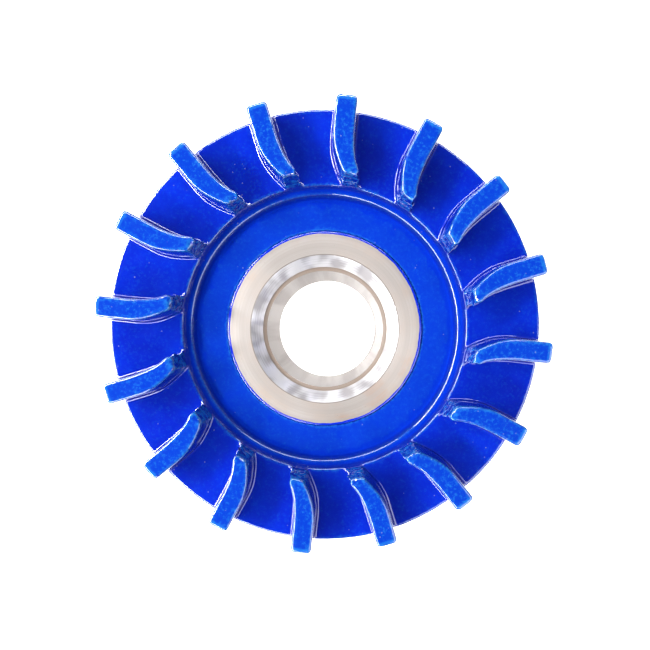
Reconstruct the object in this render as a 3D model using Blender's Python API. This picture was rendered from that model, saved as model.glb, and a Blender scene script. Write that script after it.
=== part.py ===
"""Expeller of a slurry pump: one iron casting with curved vanes on its front and a long hub behind.

Metres, +Z up. The casting stands on the machined rear face of its hub, with the vanes up. The origin is
the middle of that face, and the pump shaft's axis is +Z.
"""

import math

import bmesh
import bpy
from mathutils import Matrix, Vector

MM = 0.001

# Disc; the flat that carries the vanes is the level that the depths below are counted from
DISC_RADIUS = 142.0 * MM
FIELD_Z = 83.0 * MM
RIM_THICKNESS = 14.0 * MM
DISC_THICKNESS_AT_HUB = 19.0 * MM
RIM_BACK_ROUND = 3.0 * MM
RIM_FRONT_ROUND = 1.2 * MM

# Hub and its bore
BORE_RADIUS = 40.0 * MM
REAR_HUB_RADIUS = 59.0 * MM
REAR_HUB_TAPER = 2.0 * MM
REAR_BORE_CHAMFER = 3.0 * MM
REAR_EDGE_ROUND = 2.0 * MM
REAR_HUB_FILLET = 9.0 * MM

# Sunk ring round the hub, and the low boss in it that carries the turned hub face
RECESS_DEPTH = 8.7 * MM
HUB_FACE_DEPTH = 7.3 * MM
HUB_FACE_RADIUS = 64.0 * MM
BOSS_EDGE_ROUND = 1.2 * MM
BOSS_TAPER = 0.6 * MM
BOSS_FILLET = 0.3 * MM
SEAL_CHAMFER = 7.5 * MM
SEAL_SHOULDER = 2.4 * MM

# Two slopes that step down from the vaned field into the sunk ring
FIELD_EDGE_RADIUS = 93.4 * MM
LEDGE_DEPTH = 3.3 * MM
LEDGE_RADIUS = 89.1 * MM
RECESS_FOOT_RADIUS = 86.6 * MM
STEP_EDGE_ROUND = 1.2 * MM
RECESS_FILLET = 1.8 * MM

# Vanes
VANE_COUNT = 16
FIRST_VANE_ANGLE = math.radians(16.6)
VANE_HEIGHT = 20.0 * MM
VANE_HALF_THICKNESS = 6.6 * MM
VANE_NOSE_HALF = 4.4 * MM
VANE_NOSE_CORNER = 3.0 * MM
VANE_NOSE_X = 94.8 * MM
VANE_BEND_START = 123.3 * MM
VANE_BEND_RADIUS = 52.0 * MM
VANE_TAPER_START = 120.0 * MM
VANE_DRAFT = 1.1 * MM
VANE_NOSE_DRAFT = 1.0 * MM
VANE_TIP_RADIUS = 141.6 * MM
VANE_TIP_HALF = 6.4 * MM
VANE_TIP_CORNER = 2.0 * MM
VANE_EDGE_ROUND = 1.5 * MM
VANE_ROOT_DEPTH = 4.0 * MM

TURNED_STEPS = 80
ARC_STEP = math.radians(30.0)
BEND_STEPS = 5
CORNER_STEPS = 2


def clear_scene():
    for item in list(bpy.data.objects):
        bpy.data.objects.remove(item, do_unlink=True)


def rounded_corner(before, corner, after, radius):
    """Points of the arc that rounds a corner between two straight legs."""
    if radius == 0.0:
        return [corner]
    to_before = (before - corner).normalized()
    to_after = (after - corner).normalized()
    half_angle = to_before.angle(to_after) / 2.0
    centre = corner + (to_before + to_after).normalized() * (radius / math.sin(half_angle))
    reach = radius / math.tan(half_angle)
    start = corner + to_before * reach - centre
    turn = start.angle_signed(corner + to_after * reach - centre)
    steps = max(1, round(abs(turn) / ARC_STEP))
    return [centre + Matrix.Rotation(-turn * i / steps, 2) @ start for i in range(steps + 1)]


def turned_section():
    """Half section of the turned body as radius and height, each corner with its rounding."""
    recess_z = FIELD_Z - RECESS_DEPTH
    hub_face_z = FIELD_Z - HUB_FACE_DEPTH
    seal_foot_radius = BORE_RADIUS + SEAL_SHOULDER
    seal_foot_z = hub_face_z - SEAL_CHAMFER
    boss_radius = HUB_FACE_RADIUS + BOSS_EDGE_ROUND
    corners = [
        (BORE_RADIUS + REAR_BORE_CHAMFER, 0.0, 0.0),
        (REAR_HUB_RADIUS, 0.0, REAR_EDGE_ROUND),
        (REAR_HUB_RADIUS + REAR_HUB_TAPER, FIELD_Z - DISC_THICKNESS_AT_HUB, REAR_HUB_FILLET),
        (DISC_RADIUS, FIELD_Z - RIM_THICKNESS, RIM_BACK_ROUND),
        (DISC_RADIUS, FIELD_Z, RIM_FRONT_ROUND),
        (FIELD_EDGE_RADIUS, FIELD_Z, STEP_EDGE_ROUND),
        (LEDGE_RADIUS, FIELD_Z - LEDGE_DEPTH, STEP_EDGE_ROUND),
        (RECESS_FOOT_RADIUS, recess_z, RECESS_FILLET),
        (boss_radius + BOSS_TAPER, recess_z, BOSS_FILLET),
        (boss_radius, hub_face_z, BOSS_EDGE_ROUND),
        (seal_foot_radius + SEAL_CHAMFER, hub_face_z, 0.0),
        (seal_foot_radius, seal_foot_z, 0.0),
        (BORE_RADIUS, seal_foot_z, 0.0),
        (BORE_RADIUS, REAR_BORE_CHAMFER, 0.0),
    ]
    points = []
    for i, (radius, height, rounding) in enumerate(corners):
        before = Vector(corners[i - 1][:2])
        after = Vector(corners[(i + 1) % len(corners)][:2])
        points += rounded_corner(before, Vector((radius, height)), after, rounding)
    return points


def make_turned_body():
    """Disc, hub, bore and sunk ring as one closed turned body."""
    shape = bmesh.new()
    loop = [shape.verts.new((point.x, 0.0, point.y)) for point in turned_section()]
    edges = [shape.edges.new((loop[i - 1], loop[i])) for i in range(len(loop))]
    bmesh.ops.spin(
        shape,
        geom=loop + edges,
        cent=(0.0, 0.0, 0.0),
        axis=(0.0, 0.0, 1.0),
        angle=2.0 * math.pi,
        steps=TURNED_STEPS,
        use_merge=True,
    )
    bmesh.ops.recalc_face_normals(shape, faces=shape.faces)
    return shape


def vane_middle(x):
    """Point on a vane's middle line at distance x from the shaft's axis, and the line's slope there."""
    past_bend = max(0.0, VANE_BEND_START - x)
    sideways = math.sqrt(VANE_BEND_RADIUS**2 - past_bend**2) - VANE_BEND_RADIUS
    return Vector((x, sideways)), math.asin(past_bend / VANE_BEND_RADIUS)


def vane_half_thickness(x):
    """Half the thickness at x: growing a little from the tip, then narrowing smoothly to the nose."""
    if x > VANE_TAPER_START:
        way_in = (VANE_TIP_RADIUS - x) / (VANE_TIP_RADIUS - VANE_TAPER_START)
        return VANE_TIP_HALF + (VANE_HALF_THICKNESS - VANE_TIP_HALF) * way_in
    way_in = (VANE_TAPER_START - x) / (VANE_TAPER_START - VANE_NOSE_X)
    smooth = way_in * way_in * (3.0 - 2.0 * way_in)
    return VANE_HALF_THICKNESS + (VANE_NOSE_HALF - VANE_HALF_THICKNESS) * smooth


def rounded_end(reach, half_width, corner):
    """Points round one end of a vane as (ahead, across), from its left corner to its right one."""
    points = []
    for side in (1, -1):
        for step in range(CORNER_STEPS + 1):
            angle = math.pi / 2.0 * (step if side == 1 else CORNER_STEPS - step) / CORNER_STEPS
            ahead = reach - corner + corner * math.sin(angle)
            across = half_width - corner + corner * math.cos(angle)
            points.append((ahead, across * side))
    return points


def vane_outline(draft, nose_draft):
    """Plan outline of a vane that points along +X, with its faces moved out by the draft."""
    sides = {1: [], -1: []}
    for step in range(BEND_STEPS):
        x = VANE_BEND_START - (VANE_BEND_START - VANE_NOSE_X) * step / BEND_STEPS
        middle, slope = vane_middle(x)
        across = Matrix.Rotation(slope, 2) @ Vector((0.0, vane_half_thickness(x) + draft))
        for side, points in sides.items():
            points.append(middle + across * side)
    nose_end, slope = vane_middle(VANE_NOSE_X)
    turned = Matrix.Rotation(slope, 2)
    nose = rounded_end(nose_draft, VANE_NOSE_HALF + draft, VANE_NOSE_CORNER)
    nose = [nose_end + turned @ Vector((-ahead, across)) for ahead, across in nose]
    tip = rounded_end(0.0, VANE_TIP_HALF + draft, VANE_TIP_CORNER)
    tip = [Vector((VANE_TIP_RADIUS + ahead, across)) for ahead, across in tip]
    return sides[1] + nose + sides[-1][::-1] + tip[::-1]


def make_vane(angle):
    """One vane as a drafted block with rounded top edges, its root sunk into the disc."""
    shape = bmesh.new()
    top_z = FIELD_Z + VANE_HEIGHT
    root_z = FIELD_Z - VANE_ROOT_DEPTH
    low = [shape.verts.new((p.x, p.y, root_z)) for p in vane_outline(VANE_DRAFT, VANE_NOSE_DRAFT)]
    high = [shape.verts.new((p.x, p.y, top_z)) for p in vane_outline(0.0, 0.0)]
    shape.faces.new(low)
    top = shape.faces.new(high)
    low_edges = [shape.edges.get((low[i - 1], low[i])) for i in range(len(low))]
    high_edges = [shape.edges.get((high[i - 1], high[i])) for i in range(len(high))]
    bmesh.ops.bridge_loops(shape, edges=low_edges + high_edges)
    bmesh.ops.recalc_face_normals(shape, faces=shape.faces)
    bmesh.ops.bevel(
        shape,
        geom=list(top.edges),
        offset=VANE_EDGE_ROUND,
        offset_type="OFFSET",
        affect="EDGES",
        segments=2,
        profile=0.5,
        material=-1,
        clamp_overlap=True,
    )
    bmesh.ops.rotate(
        shape, verts=shape.verts, cent=(0.0, 0.0, 0.0), matrix=Matrix.Rotation(angle, 3, "Z")
    )
    return shape


def new_object(name, shape):
    mesh = bpy.data.meshes.new(name)
    shape.to_mesh(mesh)
    shape.free()
    item = bpy.data.objects.new(name, mesh)
    bpy.context.scene.collection.objects.link(item)
    return item


def add_vane_guide():
    """All the vanes in one guide object, which the union joins to the turned body."""
    together = bmesh.new()
    for number in range(VANE_COUNT):
        vane = make_vane(FIRST_VANE_ANGLE + number * 2.0 * math.pi / VANE_COUNT)
        copy = bpy.data.meshes.new("vane_copy")
        vane.to_mesh(copy)
        vane.free()
        together.from_mesh(copy)
        bpy.data.meshes.remove(copy)
    guide = new_object("vane_guide", together)
    guide.hide_render = True
    guide.display_type = "WIRE"
    return guide


def blue_paint():
    """Thick glossy blue paint on cast iron."""
    material = bpy.data.materials.new("blue_paint")
    material.use_nodes = True
    shader = material.node_tree.nodes["Principled BSDF"]
    shader.inputs["Base Color"].default_value = (0.01, 0.05, 0.6, 1.0)
    shader.inputs["Roughness"].default_value = 0.25
    shader.inputs["Metallic"].default_value = 0.0
    return material


def add_casting():
    """The one piece of the part: turned body and vanes joined, then shaded smooth."""
    casting = new_object("expeller_casting", make_turned_body())
    union = casting.modifiers.new("vanes", "BOOLEAN")
    union.operation = "UNION"
    union.solver = "EXACT"
    union.object = add_vane_guide()
    casting.data.shade_smooth()
    casting.data.set_sharp_from_angle(angle=math.radians(35.0))
    casting.data.materials.append(blue_paint())


clear_scene()
add_casting()
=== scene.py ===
"""Looks of a slurry pump's expeller: a thickly painted iron casting with a bare turned hub.

Metres, +Z up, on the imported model's frame: the casting stands on its hub's rear face, with its vanes up.
"""

import math

import bmesh
import bpy
import numpy as np
from mathutils import Matrix, Vector


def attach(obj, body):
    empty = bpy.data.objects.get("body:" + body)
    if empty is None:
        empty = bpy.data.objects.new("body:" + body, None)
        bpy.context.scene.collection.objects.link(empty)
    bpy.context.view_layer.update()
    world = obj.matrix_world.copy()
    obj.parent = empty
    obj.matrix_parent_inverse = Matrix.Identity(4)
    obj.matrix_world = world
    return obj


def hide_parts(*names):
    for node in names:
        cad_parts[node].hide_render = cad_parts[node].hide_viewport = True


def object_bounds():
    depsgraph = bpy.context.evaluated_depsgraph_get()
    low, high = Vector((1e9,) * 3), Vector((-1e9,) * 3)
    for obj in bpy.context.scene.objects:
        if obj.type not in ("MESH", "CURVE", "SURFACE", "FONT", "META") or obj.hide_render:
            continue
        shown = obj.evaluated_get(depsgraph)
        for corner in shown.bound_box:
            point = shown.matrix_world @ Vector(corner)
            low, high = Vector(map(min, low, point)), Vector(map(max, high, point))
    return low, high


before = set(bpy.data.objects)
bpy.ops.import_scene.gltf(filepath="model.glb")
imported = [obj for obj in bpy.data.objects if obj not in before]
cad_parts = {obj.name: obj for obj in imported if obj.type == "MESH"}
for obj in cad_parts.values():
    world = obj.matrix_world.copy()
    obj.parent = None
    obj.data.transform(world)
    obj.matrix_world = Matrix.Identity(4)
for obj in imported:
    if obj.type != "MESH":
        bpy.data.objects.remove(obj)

cad_low, cad_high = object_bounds()

# Viewpoint: the camera looks straight down on the vaned side from a short distance, a little off the
# shaft's axis, so that the vanes lean outwards in the picture and the bore narrows towards its far end.
MM = 0.001
CAMERA_PLACE = Vector((9.24, 1.94, 372.5)) * MM
CAMERA_TURN_X = -0.0489
CAMERA_TURN_Y = 0.0044
FOCAL_LENGTH_MM = 24.295
CAMERA_SHIFT_X = -0.0175
CAMERA_SHIFT_Y = 0.0353

viewer = bpy.data.objects.new("viewer", bpy.data.cameras.new("viewer"))
viewer.data.sensor_width = 36.0
viewer.data.lens = FOCAL_LENGTH_MM
viewer.data.shift_x = CAMERA_SHIFT_X
viewer.data.shift_y = CAMERA_SHIFT_Y
viewer.data.clip_start = 0.01
viewer.location = CAMERA_PLACE
viewer.rotation_euler = (CAMERA_TURN_X, CAMERA_TURN_Y, 0.0)
bpy.context.scene.collection.objects.link(viewer)
bpy.context.scene.camera = viewer

# Vaned front of the casting: the field with its sixteen vanes, the two slopes that step down from it and
# the sunk ring round the hub. Sand-cast iron, so every corner is filleted and every face a little uneven,
# under one thick coat of glossy blue paint that has run and pooled before it set.
RIM_RADIUS = cad_high.x
VANE_TOP_Z = cad_high.z
VANE_HEIGHT = 20.0 * MM
FIELD_Z = VANE_TOP_Z - VANE_HEIGHT
RIM_THICKNESS = 14.0 * MM
RIM_BACK_ROUND = 3.0 * MM
RIM_FRONT_ROUND = 1.3 * MM
FRONT_PARTING_Z = FIELD_Z - RIM_THICKNESS + RIM_BACK_ROUND
FIELD_EDGE_RADIUS = 93.8 * MM
FIELD_EDGE_ROUND = 0.6 * MM
STEP_FOOT_RADIUS = 92.0 * MM
STEP_FOOT_Z = FIELD_Z - 3.6 * MM
STEP_FOOT_ROUND = 0.2 * MM
LEDGE_RADIUS = 89.0 * MM
LEDGE_Z = FIELD_Z - 4.2 * MM
LEDGE_ROUND = 1.8 * MM
RECESS_FOOT_RADIUS = 86.6 * MM
RECESS_Z = FIELD_Z - 8.7 * MM
RECESS_FOOT_ROUND = 0.5 * MM
BOSS_FOOT_RADIUS = 66.0 * MM

VANE_COUNT = 16
FIRST_VANE_ANGLE = math.radians(16.6)
VANE_HALF_THICKNESS = 6.6 * MM
VANE_NOSE_HALF = 4.6 * MM
VANE_NOSE_X = 94.3 * MM
VANE_INNER_X = 90.0 * MM
VANE_BEND_START = 123.3 * MM
VANE_BEND_RADIUS = 52.0 * MM
VANE_TAPER_START = 120.0 * MM
VANE_DRAFT = 1.1 * MM
VANE_NOSE_RADIUS = 95.2 * MM
VANE_NOSE_DRAFT = 1.1 * MM
VANE_TIP_RADIUS = 141.9 * MM
VANE_TIP_HALF = 6.6 * MM
VANE_TIP_ROUND = 2.4 * MM
VANE_TIP_TOP_ROUND = 1.0 * MM
VANE_TOP_ROUND = 1.35 * MM
VANE_NOSE_ROUNDS = (5.0 * MM, 2.4 * MM)
VANE_ROOT_CUT = 3.5 * MM
TOP_ROUND_STEPS = 4
VANE_ROOT_DEPTH = 4.0 * MM
VANE_STATIONS = 44
SKIN_ROOM = 0.2 * MM
NOSE_LUMPS_REACH = 101.0 * MM

CAST_VOXEL = 0.7 * MM
FRONT_TRIANGLES = 190_000
TURNED_STEPS = 240
ARC_STEP = math.radians(15.0)


def rounded_corner(before, corner, after, radius):
    """Points of the arc that rounds a corner between two straight legs."""
    if radius == 0.0:
        return [corner]
    to_before = (before - corner).normalized()
    to_after = (after - corner).normalized()
    half_angle = to_before.angle(to_after) / 2.0
    centre = corner + (to_before + to_after).normalized() * (radius / math.sin(half_angle))
    reach = radius / math.tan(half_angle)
    start = corner + to_before * reach - centre
    turn = start.angle_signed(corner + to_after * reach - centre)
    steps = max(1, round(abs(turn) / ARC_STEP))
    return [centre + Matrix.Rotation(-turn * i / steps, 2) @ start for i in range(steps + 1)]


def turned_body(corners, longest_step):
    """A closed ring turned from (radius, height, rounding) corners, its long runs cut into short steps."""
    points = []
    for i, (radius, height, rounding) in enumerate(corners):
        before = Vector(corners[i - 1][:2])
        after = Vector(corners[(i + 1) % len(corners)][:2])
        points += rounded_corner(before, Vector((radius, height)), after, rounding)
    shape = bmesh.new()
    loop = [shape.verts.new((point.x, 0.0, point.y)) for point in points]
    outline = [shape.edges.new((loop[i - 1], loop[i])) for i in range(len(loop))]
    for edge in outline:
        cuts = int(edge.calc_length() / longest_step)
        if cuts:
            bmesh.ops.subdivide_edges(shape, edges=[edge], cuts=cuts)
    bmesh.ops.spin(
        shape,
        geom=shape.verts[:] + shape.edges[:],
        cent=(0.0, 0.0, 0.0),
        axis=(0.0, 0.0, 1.0),
        angle=2.0 * math.pi,
        steps=TURNED_STEPS,
        use_merge=True,
    )
    bmesh.ops.recalc_face_normals(shape, faces=shape.faces)
    return shape


def vane_middle(x):
    """Point on a vane's middle line at distance x from the shaft's axis, and the line's slope there."""
    past_bend = max(0.0, VANE_BEND_START - x)
    sideways = math.sqrt(VANE_BEND_RADIUS**2 - past_bend**2) - VANE_BEND_RADIUS
    return Vector((x, sideways)), math.asin(past_bend / VANE_BEND_RADIUS)


def vane_half_thickness(x):
    """Half the thickness at x: growing a little from the tip, then narrowing smoothly to the nose."""
    if x > VANE_TAPER_START:
        way_in = (VANE_TIP_RADIUS - x) / (VANE_TIP_RADIUS - VANE_TAPER_START)
        return VANE_TIP_HALF + (VANE_HALF_THICKNESS - VANE_TIP_HALF) * way_in
    way_in = (VANE_TAPER_START - x) / (VANE_TAPER_START - VANE_NOSE_X)
    smooth = way_in * way_in * (3.0 - 2.0 * way_in)
    return VANE_HALF_THICKNESS + (VANE_NOSE_HALF - VANE_HALF_THICKNESS) * smooth


def end_drop(distance, rounding):
    """How far a rounded end has fallen away at this distance from its outermost point."""
    inside = rounding - min(max(distance, 0.0), rounding)
    return rounding - math.sqrt(rounding**2 - inside**2)


def vane_section(x):
    """Points round a vane at x: drafted walls, a rounded top, and the inner end cut off round the shaft."""
    middle, slope = vane_middle(x)
    across_it = Matrix.Rotation(slope, 2) @ Vector((0.0, 1.0))
    from_tip = VANE_TIP_RADIUS - x
    top = VANE_TOP_Z - SKIN_ROOM - end_drop(from_tip, VANE_TIP_TOP_ROUND)
    half = vane_half_thickness(x) - end_drop(from_tip, VANE_TIP_ROUND)
    outline = []
    for side, nose_round in zip((1.0, -1.0), VANE_NOSE_ROUNDS):
        cut = end_drop(x - VANE_NOSE_X - MM, VANE_ROOT_CUT) if side < 0.0 else 0.0
        wall = [(side * (half + VANE_DRAFT - cut), FIELD_Z - VANE_ROOT_DEPTH)]
        reach = half - end_drop(x - VANE_NOSE_X, nose_round)
        for step in range(TOP_ROUND_STEPS + 1):
            angle = math.pi / 2.0 * step / TOP_ROUND_STEPS
            fall = VANE_TOP_ROUND * (1.0 - math.sin(angle))
            wall.append((side * (reach - VANE_TOP_ROUND * (1.0 - math.cos(angle))), top - fall))
        outline += wall if side > 0.0 else wall[::-1]
    points = []
    for across, height in outline:
        place = middle + across_it * across
        nose_radius = VANE_NOSE_RADIUS - VANE_NOSE_DRAFT * (VANE_TOP_Z - height) / VANE_HEIGHT
        if height > FIELD_Z:
            height -= end_drop(place.length - nose_radius, VANE_TOP_ROUND)
        if place.length < nose_radius:
            place = place.normalized() * nose_radius
        points.append((place.x, place.y, height))
    return points


def vane_block():
    """One vane along +X, drawn through sections that stand closer together at both ends."""
    block = bmesh.new()
    rings = []
    for i in range(VANE_STATIONS + 1):
        way = (1.0 - math.cos(math.pi * i / VANE_STATIONS)) / 2.0
        loop = [
            block.verts.new(point)
            for point in vane_section(VANE_INNER_X + (VANE_TIP_RADIUS - VANE_INNER_X) * way)
        ]
        rings.append([block.edges.new((loop[j - 1], loop[j])) for j in range(len(loop))])
    for inner, outer in zip(rings, rings[1:]):
        bmesh.ops.bridge_loops(block, edges=inner + outer)
    for ring in (rings[0], rings[-1]):
        bmesh.ops.edgeloop_fill(block, edges=ring)
    bmesh.ops.recalc_face_normals(block, faces=block.faces)
    return block


def add_vanes(shape):
    """Puts the ring of vanes into the shape, each one a turned copy of the first."""
    block = vane_block()
    bmesh.ops.rotate(
        block, verts=block.verts, cent=(0.0, 0.0, 0.0), matrix=Matrix.Rotation(FIRST_VANE_ANGLE, 3, "Z")
    )
    pitch = 2.0 * math.pi / VANE_COUNT
    bmesh.ops.spin(
        block,
        geom=block.verts[:] + block.edges[:] + block.faces[:],
        cent=(0.0, 0.0, 0.0),
        axis=(0.0, 0.0, 1.0),
        angle=pitch * (VANE_COUNT - 1),
        steps=VANE_COUNT - 1,
        use_duplicate=True,
    )
    vanes = bpy.data.meshes.new("vanes")
    block.to_mesh(vanes)
    block.free()
    shape.from_mesh(vanes)
    bpy.data.meshes.remove(vanes)


def new_piece(name, shape):
    mesh = bpy.data.meshes.new(name)
    shape.to_mesh(mesh)
    shape.free()
    piece = bpy.data.objects.new(name, mesh)
    bpy.context.scene.collection.objects.link(piece)
    return piece


def settle(piece):
    """Makes the piece's modifiers part of its mesh."""
    depsgraph = bpy.context.evaluated_depsgraph_get()
    mesh = bpy.data.meshes.new_from_object(piece.evaluated_get(depsgraph))
    piece.modifiers.clear()
    old = piece.data
    piece.data = mesh
    bpy.data.meshes.remove(old)
    mesh.name = piece.name


def over_neighbours(values, edges):
    """The mean of each vertex's neighbours' values."""
    ends = edges.ravel()
    others = edges[:, ::-1].ravel()
    total = np.bincount(ends, weights=values[others], minlength=len(values))
    return total / np.maximum(np.bincount(ends, minlength=len(values)), 1)


def places_of(mesh):
    places = np.empty(len(mesh.vertices) * 3)
    mesh.vertices.foreach_get("co", places)
    return places.reshape(-1, 3)


def hollowness(mesh):
    """How far each vertex lies below its neighbours' middle: above 0 in corners, below 0 on edges."""
    places = places_of(mesh)
    normals = np.empty(len(mesh.vertices) * 3)
    mesh.vertex_normals.foreach_get("vector", normals)
    normals = normals.reshape(-1, 3)
    edges = np.empty(len(mesh.edges) * 2, dtype=np.int64)
    mesh.edges.foreach_get("vertices", edges)
    edges = edges.reshape(-1, 2)
    middles = np.stack([over_neighbours(places[:, axis], edges) for axis in range(3)], axis=1)
    return ((middles - places) * normals).sum(axis=1), edges


def spread(values, edges, rings):
    """Averages the values over each vertex's neighbours, ring after ring."""
    for _ in range(rings):
        values = (values + 4.0 * over_neighbours(values, edges)) / 5.0
    return values


def add_group(piece, name, weights):
    """Names the vertices with a weight, so that a modifier can be kept to them."""
    group = piece.vertex_groups.new(name=name)
    for index in np.nonzero(weights > 0.02)[0]:
        group.add([int(index)], float(min(1.0, weights[index])), "REPLACE")
    return group


def fillet_corners(piece):
    """Melts the corners at the vanes' roots into fillets, and leaves the outside edges as they are."""
    hollow, edges = hollowness(piece.data)
    radii = np.hypot(*places_of(piece.data)[:, :2].T)
    corner = spread(((hollow > 0.1 * CAST_VOXEL) & (radii > FIELD_EDGE_RADIUS)).astype(float), edges, 8)
    group = add_group(piece, "inside_corners", corner * 2.5)
    melt = piece.modifiers.new("fillets", "SMOOTH")
    melt.factor = 0.6
    melt.iterations = 16
    melt.vertex_group = group.name
    even = piece.modifiers.new("even", "SMOOTH")
    even.factor = 0.5
    even.iterations = 2
    settle(piece)
    piece.vertex_groups.clear()


def nose_share(mesh):
    """1 on the blunt inner ends of the vanes, fading out along the vanes and towards the field."""
    places = places_of(mesh)
    inward = (NOSE_LUMPS_REACH - np.hypot(places[:, 0], places[:, 1])) / (4.0 * MM)
    upward = (places[:, 2] - FIELD_Z) / (2.0 * MM)
    return np.clip(inward, 0.0, 1.0) * np.clip(upward, 0.0, 1.0)


def lumpy_noses(piece):
    """Leaves the vanes' inner ends rough, where the mould broke away and the paint gathered in drops."""
    group = add_group(piece, "noses", nose_share(piece.data))
    texture = bpy.data.textures.new("drops", "CLOUDS")
    texture.noise_scale = 2.6 * MM
    texture.noise_depth = 1
    drops = piece.modifiers.new("drops", "DISPLACE")
    drops.texture = texture
    drops.texture_coords = "LOCAL"
    drops.strength = 0.75 * MM
    drops.mid_level = 0.55
    drops.vertex_group = group.name
    settle(piece)
    piece.vertex_groups.clear()


def cast_skin(piece):
    """Leaves the slight waves and lumps that a sand mould gives a surface."""
    for name, size, height in (("waves", 24.0 * MM, 0.3 * MM), ("lumps", 6.0 * MM, 0.15 * MM)):
        texture = bpy.data.textures.new(name, "CLOUDS")
        texture.noise_scale = size
        texture.noise_depth = 1
        uneven = piece.modifiers.new(name, "DISPLACE")
        uneven.texture = texture
        uneven.texture_coords = "LOCAL"
        uneven.strength = height
        uneven.mid_level = 0.5
    settle(piece)


def keep_inside(piece):
    """Presses the few lumps that stand out of the casting's turned outline back to it."""
    places = places_of(piece.data)
    radii = np.hypot(places[:, 0], places[:, 1])
    places[:, :2] *= np.minimum(1.0, RIM_RADIUS / np.maximum(radii, MM))[:, None]
    places[:, 2] = np.minimum(places[:, 2], VANE_TOP_Z)
    piece.data.vertices.foreach_set("co", places.ravel())
    piece.data.update()


def keep_shares(piece):
    """Stores for the paint how hollow and how steep each place is, and where the vanes' noses are."""
    hollow, edges = hollowness(piece.data)
    hollow = np.clip(spread(hollow, edges, 2) / (0.05 * MM), -1.0, 1.0)
    upward = np.empty(len(piece.data.vertices) * 3)
    piece.data.vertex_normals.foreach_get("vector", upward)
    steep = np.clip((0.92 - np.abs(upward[2::3])) / 0.35, 0.0, 1.0)
    for name, values in (("hollow", hollow), ("steep", steep), ("nose", nose_share(piece.data))):
        stored = piece.data.attributes.new(name, "FLOAT", "POINT")
        stored.data.foreach_set("value", values.astype(np.float32))


def shade(piece, sharp_degrees):
    piece.data.shade_smooth()
    piece.data.set_sharp_from_angle(angle=math.radians(sharp_degrees))


def add_node(tree, kind, links=(), **values):
    """A shader node with its settings and unlinked inputs from values, and its inputs linked by name."""
    node = tree.nodes.new(kind)
    for name, value in values.items():
        if hasattr(node, name):
            setattr(node, name, value)
    for name, source in dict(links).items():
        tree.links.new(source, node.inputs[name])
    return node


def set_inputs(node, **values):
    for name, value in values.items():
        node.inputs[name.replace("_", " ")].default_value = value
    return node


def noise_at(tree, place, scale, detail=3.0, roughness=0.5):
    noise = add_node(tree, "ShaderNodeTexNoise", {"Vector": place})
    set_inputs(noise, Scale=scale, Detail=detail, Roughness=roughness)
    return noise.outputs["Fac"]


def ramp_of(tree, factor, *stops):
    """A colour ramp with (position, colour) stops."""
    ramp = add_node(tree, "ShaderNodeValToRGB", {"Fac": factor})
    elements = ramp.color_ramp.elements
    for element, (position, colour) in zip(elements, stops):
        element.position = position
        element.color = colour
    for position, colour in stops[2:]:
        elements.new(position).color = colour
    return ramp.outputs["Color"]


def mixed(tree, factor, first, second, blend="MIX"):
    """One colour over another; each may be a socket or a plain colour."""
    mix = add_node(tree, "ShaderNodeMix", data_type="RGBA", blend_type=blend)
    for socket, value in ((mix.inputs[0], factor), (mix.inputs[6], first), (mix.inputs[7], second)):
        if hasattr(value, "links"):
            tree.links.new(value, socket)
        else:
            socket.default_value = value
    return mix.outputs[2]


def worked(tree, operation, first, second=0.0, clamp=False):
    sum_of = add_node(tree, "ShaderNodeMath", operation=operation, use_clamp=clamp)
    for socket, value in ((sum_of.inputs[0], first), (sum_of.inputs[1], second)):
        if hasattr(value, "links"):
            tree.links.new(value, socket)
        else:
            socket.default_value = value
    return sum_of.outputs[0]


GREY_0 = (0.0, 0.0, 0.0, 1.0)
GREY_1 = (1.0, 1.0, 1.0, 1.0)
PAINT_DEEP = (0.001, 0.009, 0.27, 1.0)
PAINT_FULL = (0.001, 0.016, 0.35, 1.0)
PAINT_TOP_AND_RING_SHADING = (0.001, 0.026, 0.295, 1.0)
PAINT_PALE_AND_SHEEN = (0.015, 0.17, 0.42, 1.0)
DUST = (0.17, 0.20, 0.29, 1.0)
PAINTED_WALL_SHADE = (1.0, 0.55, 0.55, 1.0)


def grey_ramp(tree, factor, start, end):
    """0 below the start and 1 beyond the end."""
    share = add_node(tree, "ShaderNodeMapRange", {"Value": factor}, clamp=True)
    set_inputs(share, From_Min=start, From_Max=end)
    return share.outputs[0]


def times(tree, first, second):
    return worked(tree, "MULTIPLY", first, second)


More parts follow.
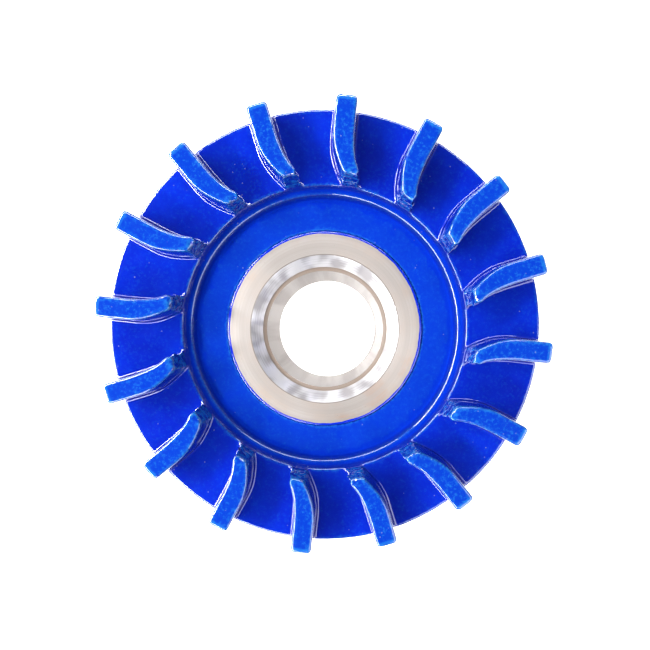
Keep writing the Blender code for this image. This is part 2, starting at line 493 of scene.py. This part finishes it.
def painted(tree, place):
    """The enamel's colour and its specks: mottled, with grit and dust; paler on the edges, from thin paint and a
    painted highlight; with painted light on the vane tops and a painted sheen on their ends; with painted shade
    in the sunk ring, in its corners and on the steep walls.
    """
    hollow = add_node(tree, "ShaderNodeAttribute", attribute_name="hollow").outputs["Fac"]
    nose = add_node(tree, "ShaderNodeAttribute", attribute_name="nose").outputs["Fac"]
    steep = add_node(tree, "ShaderNodeAttribute", attribute_name="steep").outputs["Fac"]
    clouds = noise_at(tree, place, 34.0, 5.0, 0.65)
    colour = mixed(tree, grey_ramp(tree, clouds, 0.32, 0.68), PAINT_DEEP, PAINT_FULL)
    height = add_node(tree, "ShaderNodeSeparateXYZ", {"Vector": place}).outputs["Z"]
    flat = add_node(tree, "ShaderNodeVectorMath", {0: place}, operation="MULTIPLY")
    flat.inputs[1].default_value = (1.0, 1.0, 0.0)
    radius = add_node(tree, "ShaderNodeVectorMath", {0: flat.outputs["Vector"]}, operation="LENGTH")
    vane_top = grey_ramp(tree, height, VANE_TOP_Z - 3.0 * MM, VANE_TOP_Z - 1.0 * MM)
    sunk_ring = grey_ramp(tree, radius.outputs["Value"], FIELD_EDGE_RADIUS, STEP_FOOT_RADIUS)
    # Painted light and shade: the vane tops and the whole sunk ring take a greener, less blue tint than the
    # pockets, standing in for the different light on them.
    top_and_ring_shading = worked(tree, "MAXIMUM", vane_top, times(tree, sunk_ring, 0.75))
    colour = mixed(tree, top_and_ring_shading, colour, PAINT_TOP_AND_RING_SHADING)
    # Painted shade: the steep walls of the vanes and slopes are darkened.
    colour = mixed(tree, steep, colour, PAINTED_WALL_SHADE, "MULTIPLY")
    # Painted sheen: the rounded ends of the vane tops are made paler, the way a lit bevel looks.
    tip = times(tree, vane_top, grey_ramp(tree, radius.outputs["Value"], 138.4 * MM, 139.2 * MM))
    colour = mixed(tree, times(tree, tip, 0.3), colour, PAINT_PALE_AND_SHEEN)
    grain = noise_at(tree, place, 560.0, 4.0, 0.65)
    # The pale grain is stronger on the vane tops, which adds to their painted light.
    grain_share = worked(tree, "ADD", times(tree, vane_top, 0.3), 0.12)
    colour = mixed(tree, times(tree, grey_ramp(tree, grain, 0.52, 0.74), grain_share), colour, PAINT_PALE_AND_SHEEN)
    colour = mixed(tree, times(tree, grey_ramp(tree, grain, 0.46, 0.30), 0.3), colour, PAINT_DEEP)

    # Paler convex edges: the paint is thin there, and a painted highlight runs along them.
    edge = grey_ramp(tree, hollow, -0.25, -1.0)
    edge = times(tree, edge, grey_ramp(tree, grain, 0.35, 0.6))
    colour = mixed(tree, times(tree, edge, 0.4), colour, PAINT_PALE_AND_SHEEN)
    drops = grey_ramp(tree, noise_at(tree, place, 330.0, 2.0), 0.45, 0.6)
    colour = mixed(tree, times(tree, times(tree, nose, drops), 0.4), colour, PAINT_PALE_AND_SHEEN)

    specks = add_node(tree, "ShaderNodeTexVoronoi", {"Vector": place})
    set_inputs(specks, Scale=210.0, Randomness=1.0)
    speck = grey_ramp(tree, specks.outputs["Distance"], 0.12, 0.06)
    speck = times(tree, speck, grey_ramp(tree, noise_at(tree, place, 70.0, 2.0), 0.52, 0.60))
    colour = mixed(tree, times(tree, speck, 0.4), colour, DUST)
    # Painted shade: the hollow corners of the sunk ring are darkened; they also lose their gloss.
    corner = times(tree, grey_ramp(tree, hollow, 0.04, 0.22), sunk_ring)
    colour = mixed(tree, times(tree, corner, 0.5), colour, PAINT_DEEP)
    return colour, speck, worked(tree, "SUBTRACT", 1.0, times(tree, corner, 1.0))


def thick_blue_paint():
    """Glossy blue enamel, brushed on thick: mottled, with specks of grit and short brush strokes."""
    material = bpy.data.materials.new("thick_blue_paint")
    material.use_nodes = True
    tree = material.node_tree
    shader = tree.nodes["Principled BSDF"]
    place = add_node(tree, "ShaderNodeTexCoord").outputs["Object"]
    colour, speck, gloss = painted(tree, place)
    tree.links.new(colour, shader.inputs["Base Color"])
    tree.links.new(gloss, shader.inputs["Coat Weight"])
    tree.links.new(times(tree, gloss, 0.1), shader.inputs["Specular IOR Level"])

    matt = worked(tree, "ADD", times(tree, noise_at(tree, place, 90.0, 3.0), 0.2), times(tree, speck, 0.3))
    tree.links.new(worked(tree, "ADD", matt, 0.08), shader.inputs["Roughness"])
    stroke_place = add_node(tree, "ShaderNodeVectorMath", {0: place}, operation="MULTIPLY")
    stroke_place.inputs[1].default_value = (0.35, 1.0, 1.0)
    strokes = add_node(tree, "ShaderNodeBump", {"Height": noise_at(tree, stroke_place.outputs[0], 260.0, 3.0)})
    set_inputs(strokes, Strength=0.3, Distance=0.12 * MM)
    orange_peel = add_node(
        tree, "ShaderNodeBump", {"Height": noise_at(tree, place, 520.0, 2.0, 0.55), "Normal": strokes.outputs[0]}
    )
    set_inputs(orange_peel, Strength=0.3, Distance=0.07 * MM)
    grit = add_node(tree, "ShaderNodeBump", {"Height": speck, "Normal": orange_peel.outputs[0]})
    set_inputs(grit, Strength=0.6, Distance=0.2 * MM)
    tree.links.new(grit.outputs[0], shader.inputs["Normal"])
    tree.links.new(orange_peel.outputs[0], shader.inputs["Coat Normal"])
    set_inputs(shader, Metallic=0.0, IOR=1.5, Coat_Roughness=0.05, Coat_IOR=1.75)
    return material


paint = thick_blue_paint()

front = turned_body(
    [
        (BOSS_FOOT_RADIUS, FRONT_PARTING_Z - 2.0 * CAST_VOXEL, 0.0),
        (RIM_RADIUS, FRONT_PARTING_Z - 2.0 * CAST_VOXEL, 0.0),
        (RIM_RADIUS, FIELD_Z, RIM_FRONT_ROUND),
        (FIELD_EDGE_RADIUS, FIELD_Z, FIELD_EDGE_ROUND),
        (STEP_FOOT_RADIUS, STEP_FOOT_Z, STEP_FOOT_ROUND),
        (LEDGE_RADIUS, LEDGE_Z, LEDGE_ROUND),
        (RECESS_FOOT_RADIUS, RECESS_Z, RECESS_FOOT_ROUND),
        (BOSS_FOOT_RADIUS, RECESS_Z, 0.0),
    ],
    3.0 * MM,
)
add_vanes(front)
vaned_front = new_piece("vaned_front", front)
remesh = vaned_front.modifiers.new("one_casting", "REMESH")
remesh.mode = "VOXEL"
remesh.voxel_size = CAST_VOXEL
settle(vaned_front)
fillet_corners(vaned_front)
lumpy_noses(vaned_front)
cast_skin(vaned_front)

cut = bmesh.new()
cut.from_mesh(vaned_front.data)
bmesh.ops.bisect_plane(
    cut,
    geom=cut.verts[:] + cut.edges[:] + cut.faces[:],
    plane_co=(0.0, 0.0, FRONT_PARTING_Z),
    plane_no=(0.0, 0.0, 1.0),
    clear_inner=True,
)
open_edges = [edge for edge in cut.edges if edge.is_boundary]
bmesh.ops.triangle_fill(cut, edges=open_edges, use_beauty=True, normal=(0.0, 0.0, -1.0))
bmesh.ops.recalc_face_normals(cut, faces=cut.faces)
cut.to_mesh(vaned_front.data)
cut.free()
thin = vaned_front.modifiers.new("thin_out", "DECIMATE")
thin.ratio = FRONT_TRIANGLES / sum(len(face.vertices) - 2 for face in vaned_front.data.polygons)
settle(vaned_front)
keep_inside(vaned_front)
keep_shares(vaned_front)
shade(vaned_front, 50.0)
vaned_front.data.materials.append(paint)
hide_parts("expeller_casting")
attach(vaned_front, "root")

# Back of the disc and the outside of the hub: the same casting and the same coat of paint. The hub runs
# down to the rear face that the casting stands on, with a broad fillet where it leaves the disc.
DISC_THICKNESS_AT_HUB = 19.0 * MM
HUB_RADIUS = 59.0 * MM
HUB_TAPER = 2.0 * MM
HUB_FILLET = 9.0 * MM
HUB_FOOT_ROUND = 2.0 * MM
PARTING_GAP = 0.02 * MM
HIDDEN_RADIUS = 56.0 * MM
SKIN_STEP = 2.5 * MM

disc_back = new_piece("disc_back", turned_body(
    [
        (HIDDEN_RADIUS, 0.3 * MM, 0.0),
        (HUB_RADIUS, 0.0, HUB_FOOT_ROUND),
        (HUB_RADIUS + HUB_TAPER, FIELD_Z - DISC_THICKNESS_AT_HUB, HUB_FILLET),
        (RIM_RADIUS, FIELD_Z - RIM_THICKNESS, RIM_BACK_ROUND),
        (RIM_RADIUS, FRONT_PARTING_Z - PARTING_GAP, 0.0),
        (HIDDEN_RADIUS, FRONT_PARTING_Z - PARTING_GAP, 0.0),
    ],
    SKIN_STEP,
))
cast_skin(disc_back)
keep_inside(disc_back)
keep_shares(disc_back)
shade(disc_back, 50.0)
disc_back.data.materials.append(paint)
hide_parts("expeller_casting")
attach(disc_back, "root")

# Turned hub: the faces that the lathe cut after casting. The front face on its low boss, the seal's
# chamfer and narrow shoulder at the bore's mouth, the bore and the rear face are bare iron with fine
# turning marks. The paint ends in a wavy line on the boss's rounded edge.
HUB_FACE_Z = FIELD_Z - 7.3 * MM
HUB_FACE_RADIUS = 64.0 * MM
BOSS_RADIUS = 65.4 * MM
BOSS_EDGE_ROUND = 1.2 * MM
BORE_RADIUS = 40.0 * MM
SEAL_CHAMFER = 7.5 * MM
SEAL_SHOULDER = 2.9 * MM
SEAL_MOUTH_RADIUS = 49.9 * MM
REAR_BORE_CHAMFER = 3.0 * MM
CORE_THICKNESS = 6.0 * MM
IRON_PALE = (0.352, 0.322, 0.302, 1.0)
IRON_DARK = (0.25, 0.22, 0.195, 1.0)
IRON_WARM = (1.0, 0.88, 0.79, 1.0)
IRON_BORE = (0.57, 0.545, 0.53, 1.0)
BORE_REFLECTION_STREAK = (0.78, 0.76, 0.76, 1.0)
MOUTH_LINE = (0.55, 0.52, 0.51, 1.0)
SHOULDER_SHADE_TINT = (0.78, 0.69, 0.62, 1.0)
SIDE_SHADE_TINT = (1.0, 0.72, 0.58, 1.0)
SHADED_SIDE = (0.64, -0.77, 0.0)
CHAMFER_DARK = (0.44, 0.42, 0.42, 1.0)
CHAMFER_PALE = (0.80, 0.79, 0.79, 1.0)


def ring_marks(tree, place):
    """Rings of tool marks round the shaft's axis: the radius at each point, and fine and broad rings."""
    split = add_node(tree, "ShaderNodeSeparateXYZ", {"Vector": place})
    flat = add_node(tree, "ShaderNodeCombineXYZ", {"X": split.outputs["X"], "Y": split.outputs["Y"]})
    radius = add_node(tree, "ShaderNodeVectorMath", {0: flat.outputs["Vector"]}, operation="LENGTH")
    radius = radius.outputs["Value"]
    ring_place = add_node(tree, "ShaderNodeCombineXYZ", {"X": radius, "Y": split.outputs["Z"]})
    fine = noise_at(tree, ring_place.outputs["Vector"], 1900.0, 2.0, 0.6)
    broad = noise_at(tree, ring_place.outputs["Vector"], 300.0, 3.0, 0.6)
    return radius, worked(tree, "ADD", times(tree, fine, 0.6), times(tree, broad, 0.4))


def turned_shader(tree, marks_height, rings):
    """Makes the material's highlights stretch across the tool marks, as they do on a turned face."""
    shader = tree.nodes["Principled BSDF"]
    marks = add_node(tree, "ShaderNodeBump", {"Height": rings})
    set_inputs(marks, Strength=0.6, Distance=marks_height)
    tree.links.new(marks.outputs["Normal"], shader.inputs["Normal"])
    round_axis = add_node(tree, "ShaderNodeTangent", direction_type="RADIAL", axis="Z")
    tree.links.new(round_axis.outputs["Tangent"], shader.inputs["Tangent"])
    set_inputs(shader, Anisotropic=0.9, Anisotropic_Rotation=0.25)
    return shader


def bare_turned_iron():
    """Freshly turned iron with ring after ring of tool marks, and paint beyond the boss's edge."""
    material = bpy.data.materials.new("bare_turned_iron")
    material.use_nodes = True
    tree = material.node_tree
    place = add_node(tree, "ShaderNodeTexCoord").outputs["Object"]
    radius, rings = ring_marks(tree, place)
    shader = turned_shader(tree, 0.03 * MM, rings)

    colour = mixed(tree, grey_ramp(tree, rings, 0.40, 0.62), IRON_DARK, IRON_PALE)
    colour = mixed(tree, 0.45, colour, IRON_PALE)
    stain = grey_ramp(tree, noise_at(tree, place, 45.0, 4.0, 0.6), 0.42, 0.7)
    streaks = grey_ramp(tree, rings, 0.45, 0.6)
    colour = mixed(tree, times(tree, stain, streaks), colour, IRON_WARM, "MULTIPLY")
    pits = add_node(tree, "ShaderNodeTexVoronoi", {"Vector": place})
    set_inputs(pits, Scale=330.0, Randomness=1.0)
    pit = grey_ramp(tree, pits.outputs["Distance"], 0.10, 0.05)
    pit = times(tree, pit, grey_ramp(tree, noise_at(tree, place, 80.0, 2.0), 0.54, 0.62))
    colour = mixed(tree, times(tree, pit, 0.5), colour, IRON_DARK, "MULTIPLY")
    in_bore = grey_ramp(tree, radius, BORE_RADIUS + 0.2 * MM, BORE_RADIUS + 0.1 * MM)
    colour = mixed(tree, times(tree, in_bore, 0.8), colour, IRON_BORE)
    down_it = add_node(tree, "ShaderNodeVectorMath", {0: place}, operation="MULTIPLY")
    down_it.inputs[1].default_value = (1.0, 1.0, 0.04)
    # Painted reflection: dark streaks along the bore's axis stand in for the room mirrored in the bore.
    streak = grey_ramp(tree, noise_at(tree, down_it.outputs["Vector"], 75.0, 3.0, 0.6), 0.45, 0.62)
    colour = mixed(tree, times(tree, streak, in_bore), colour, BORE_REFLECTION_STREAK, "MULTIPLY")
    mouth = times(
        tree,
        grey_ramp(tree, radius, SEAL_MOUTH_RADIUS - 0.1 * MM, SEAL_MOUTH_RADIUS),
        grey_ramp(tree, radius, SEAL_MOUTH_RADIUS + 0.8 * MM, SEAL_MOUTH_RADIUS + 0.4 * MM),
    )
    colour = mixed(tree, mouth, colour, MOUTH_LINE, "MULTIPLY")
    # Painted shade: one side of the hub is tinted warmer and darker, broken up in a rust-like pattern.
    side_shade = add_node(tree, "ShaderNodeVectorMath", {0: place}, operation="DOT_PRODUCT")
    side_shade.inputs[1].default_value = SHADED_SIDE
    side_shade = times(tree, grey_ramp(tree, side_shade.outputs["Value"], 40.0 * MM, 56.0 * MM), streaks)
    side_shade = times(tree, side_shade, grey_ramp(tree, noise_at(tree, place, 60.0, 3.0), 0.45, 0.6))
    colour = mixed(tree, times(tree, side_shade, 0.7), colour, SIDE_SHADE_TINT, "MULTIPLY")
    # Painted shade: the narrow shoulder under the chamfer is darkened, in a warm tone.
    shoulder = grey_ramp(tree, radius, BORE_RADIUS + SEAL_SHOULDER + 0.3 * MM, BORE_RADIUS + SEAL_SHOULDER)
    shoulder = times(tree, shoulder, grey_ramp(tree, radius, BORE_RADIUS + 0.1 * MM, BORE_RADIUS + 0.3 * MM))
    colour = mixed(tree, shoulder, colour, SHOULDER_SHADE_TINT, "MULTIPLY")

    wavy = times(tree, noise_at(tree, place, 120.0, 3.0), 1.2 * MM)
    border = worked(tree, "ADD", radius, wavy)
    paint_share = grey_ramp(tree, border, HUB_FACE_RADIUS + 0.5 * MM, HUB_FACE_RADIUS + 0.6 * MM)
    colour = mixed(tree, paint_share, colour, PAINT_FULL)
    tree.links.new(colour, shader.inputs["Base Color"])
    bare_share = worked(tree, "SUBTRACT", 1.0, paint_share)
    mirror_share = worked(tree, "ADD", times(tree, in_bore, 0.35), 0.45)
    tree.links.new(times(tree, bare_share, mirror_share), shader.inputs["Metallic"])
    matt = times(tree, bare_share, worked(tree, "ADD", times(tree, rings, 0.3), 0.18))
    tree.links.new(worked(tree, "ADD", matt, 0.08), shader.inputs["Roughness"])
    tree.links.new(paint_share, shader.inputs["Coat Weight"])
    set_inputs(shader, Coat_IOR=1.75)
    return material


def bright_chamfer():
    """The seal's seat, finished finer than the faces and half a mirror; its pale and dark patches, smeared round
    the ring, are painted reflections of the room.
    """
    material = bpy.data.materials.new("bright_chamfer")
    material.use_nodes = True
    tree = material.node_tree
    place = add_node(tree, "ShaderNodeTexCoord").outputs["Object"]
    rings = ring_marks(tree, place)[1]
    shader = turned_shader(tree, 0.01 * MM, rings)
    outward = add_node(tree, "ShaderNodeVectorMath", {0: place}, operation="MULTIPLY")
    outward.inputs[1].default_value = (1.0, 1.0, 0.0)
    # Painted reflection: pale and dark patches round the chamfer, mixed with the tool marks, stand in for the
    # room mirrored in it.
    sectors = noise_at(tree, outward.outputs["Vector"], 85.0, 1.0)
    marks_and_reflection_patches = worked(tree, "ADD", times(tree, rings, 0.3), times(tree, sectors, 0.7))
    marks_and_reflection_patches = grey_ramp(tree, marks_and_reflection_patches, 0.42, 0.56)
    tree.links.new(mixed(tree, marks_and_reflection_patches, CHAMFER_DARK, CHAMFER_PALE), shader.inputs["Base Color"])
    matt = times(tree, noise_at(tree, place, 160.0, 3.0), 0.12)
    tree.links.new(worked(tree, "ADD", matt, 0.17), shader.inputs["Roughness"])
    shader.inputs["Metallic"].default_value = 0.6
    return material


seal_foot_radius = BORE_RADIUS + SEAL_SHOULDER
seal_foot_z = HUB_FACE_Z - SEAL_CHAMFER
hidden_z = FRONT_PARTING_Z - PARTING_GAP
turned_hub = new_piece("turned_hub", turned_body(
    [
        (BORE_RADIUS + REAR_BORE_CHAMFER, 0.0, 0.0),
        (HIDDEN_RADIUS - PARTING_GAP, 0.0, 0.0),
        (HIDDEN_RADIUS - PARTING_GAP, hidden_z, 0.0),
        (BOSS_FOOT_RADIUS - PARTING_GAP, hidden_z, 0.0),
        (BOSS_FOOT_RADIUS - PARTING_GAP, RECESS_Z, 0.0),
        (BOSS_RADIUS, HUB_FACE_Z, BOSS_EDGE_ROUND),
        (SEAL_MOUTH_RADIUS, HUB_FACE_Z, 0.15 * MM),
        (seal_foot_radius, seal_foot_z, 0.0),
        (BORE_RADIUS, seal_foot_z, 0.15 * MM),
        (BORE_RADIUS, REAR_BORE_CHAMFER, 0.0),
    ],
    8.0 * MM,
))
shade(turned_hub, 35.0)
turned_hub.data.materials.append(bare_turned_iron())
turned_hub.data.materials.append(bright_chamfer())
for face in turned_hub.data.polygons:
    middle_height = face.center.z
    middle_radius = face.center.xy.length
    in_chamfer = seal_foot_radius < middle_radius < SEAL_MOUTH_RADIUS
    if in_chamfer and seal_foot_z < middle_height < HUB_FACE_Z:
        face.material_index = 1
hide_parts("expeller_casting")
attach(turned_hub, "root")

# Studio: a plain white sheet to stand on, lamps set round the room like windows, most of them on the left and the
# lowest straight from the left, and a dim grey room that fills the shadows. None of it belongs to the object.
FLOOR_HALF = 3.0
LAMP_DISTANCE = 2.5
HIGH = math.radians(40.0)
LEFT = math.radians(35.0)
WHITE = (1.0, 1.0, 1.0)
LAMPS = (
    ("far_right_window", 70.0, HIGH, 1.2, 0.30, 18.0),
    ("far_window", 105.0, HIGH, 1.4, 0.30, 31.0),
    ("far_left_window", 150.0, HIGH, 1.1, 0.36, 52.0),
    ("left_window", 180.0, LEFT, 1.3, 0.30, 84.0),
    ("near_left_window", 212.0, HIGH, 1.2, 0.34, 44.0),
    ("near_window", 246.0, HIGH, 1.2, 0.30, 32.0),
    ("room_side", 325.0, HIGH, 2.4, 1.5, 42.0),
)
ROOM_HORIZON = (0.30, 0.31, 0.35, 1.0)
ROOM_WALL = (0.13, 0.14, 0.18, 1.0)
ROOM_CEILING = (0.02, 0.022, 0.035, 1.0)


def aim(item, target):
    item.rotation_euler = (Vector(target) - item.location).to_track_quat("-Z", "Y").to_euler()


def add_panel(name, azimuth, elevation, distance, width, height, power, colour):
    """A flat lamp that faces the hub from that side."""
    data = bpy.data.lights.new(name, "AREA")
    data.shape = "RECTANGLE"
    data.size = width
    data.size_y = height
    data.energy = power
    data.color = colour
    lamp = bpy.data.objects.new(name, data)
    flat = math.cos(elevation) * distance
    lamp.location = (math.cos(azimuth) * flat, math.sin(azimuth) * flat, FIELD_Z + math.sin(elevation) * distance)
    aim(lamp, (0.0, 0.0, FIELD_Z))
    lamp.visible_camera = False
    bpy.context.scene.collection.objects.link(lamp)


floor_shape = bmesh.new()
bmesh.ops.create_grid(floor_shape, x_segments=1, y_segments=1, size=FLOOR_HALF)
white_sheet = new_piece("white_sheet", floor_shape)
sheet_material = bpy.data.materials.new("white_sheet")
sheet_material.use_nodes = True
sheet_shader = sheet_material.node_tree.nodes["Principled BSDF"]
sheet_shader.inputs["Base Color"].default_value = (0.85, 0.85, 0.85, 1.0)
sheet_shader.inputs["Roughness"].default_value = 0.8
sheet_shader.inputs["Emission Color"].default_value = (1.0, 1.0, 1.0, 1.0)
sheet_shader.inputs["Emission Strength"].default_value = 0.95
white_sheet.data.materials.append(sheet_material)

for name, azimuth, elevation, width, height, power in LAMPS:
    add_panel(name, math.radians(azimuth), elevation, LAMP_DISTANCE, width, height, power, WHITE)

room = bpy.data.worlds.new("room")
room.use_nodes = True
backdrop = room.node_tree.nodes["Background"]
height = add_node(room.node_tree, "ShaderNodeSeparateXYZ", {0: add_node(room.node_tree, "ShaderNodeTexCoord").outputs["Generated"]})
upward = ramp_of(
    room.node_tree, height.outputs["Z"],
    (0.10, ROOM_HORIZON), (0.20, ROOM_WALL), (0.60, ROOM_WALL), (0.86, ROOM_CEILING),
)
room.node_tree.links.new(upward, backdrop.inputs["Color"])
bpy.context.scene.world = room
bpy.context.scene.view_settings.view_transform = "Standard"
